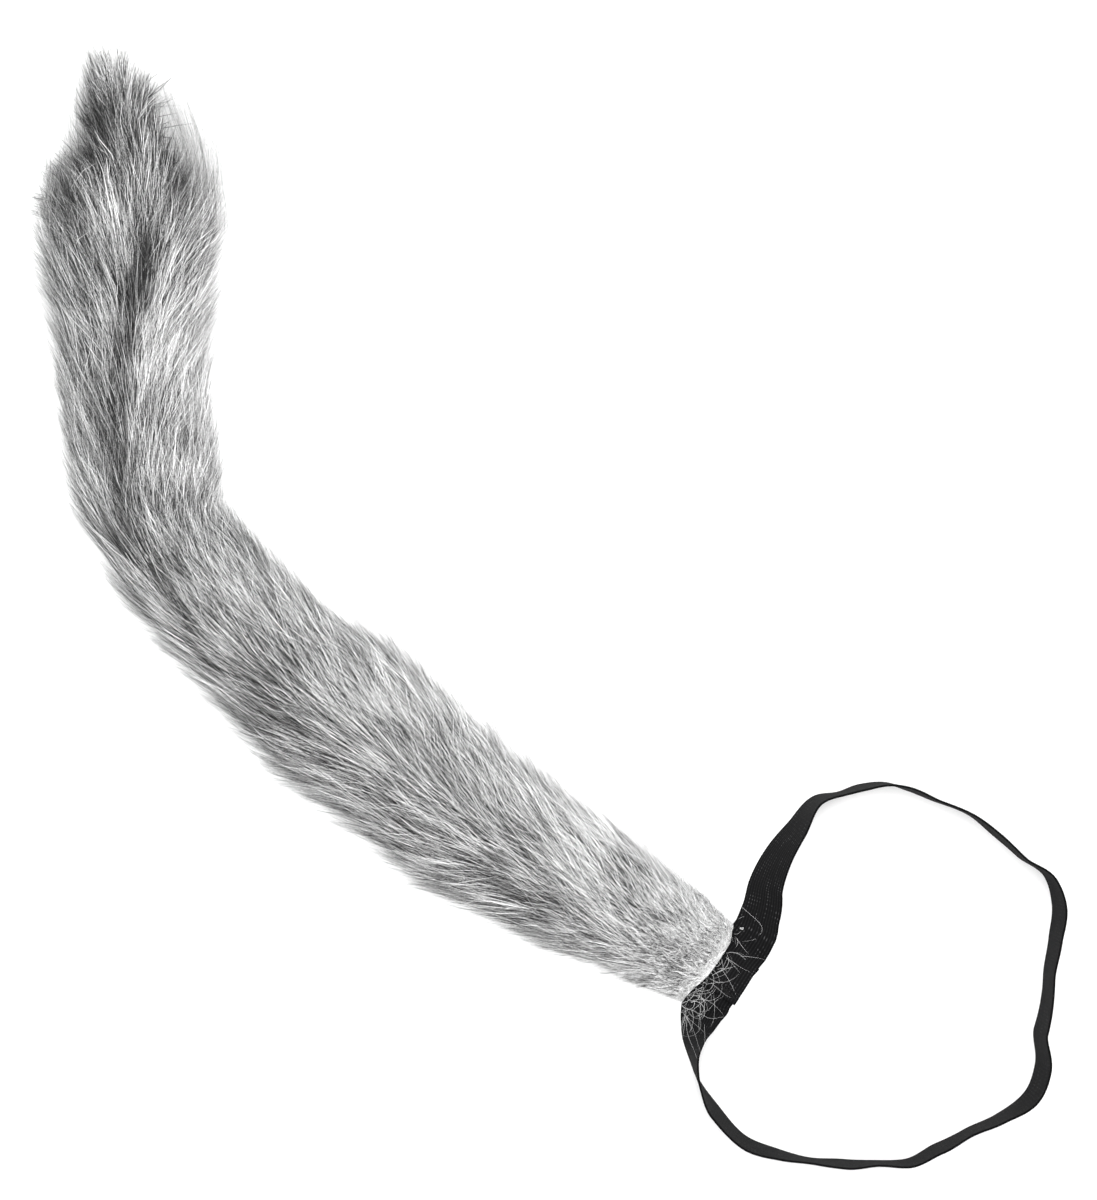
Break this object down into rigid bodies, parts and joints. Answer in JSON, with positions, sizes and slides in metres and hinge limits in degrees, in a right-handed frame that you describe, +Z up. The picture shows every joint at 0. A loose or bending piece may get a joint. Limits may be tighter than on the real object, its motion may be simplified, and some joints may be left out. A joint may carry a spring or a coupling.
{
  "type": "costume animal tail",
  "caption": "Long-haired grey faux-fur costume tail, bent at mid-length and lying flat, sewn to a round loop of flat black waist elastic.",
  "frame": {"origin": "on the table that the part lies on, under the middle of its bounding box", "axes": "+Z up from the table, +X and +Y to the right and the top of the plan view, with the tail's tuft at the top left and the waist loop at the bottom right"},
  "size_m": [0.5276, 0.5908, 0.0525],
  "materials": {
    "elastic": "ribbed matt elastic, black",
    "fur": "long soft pile, grey with lighter tips"
  },
  "bodies": {
    "root": {"waist_band": "elastic", "fur_tail": "fur"}
  },
  "joints": []
}
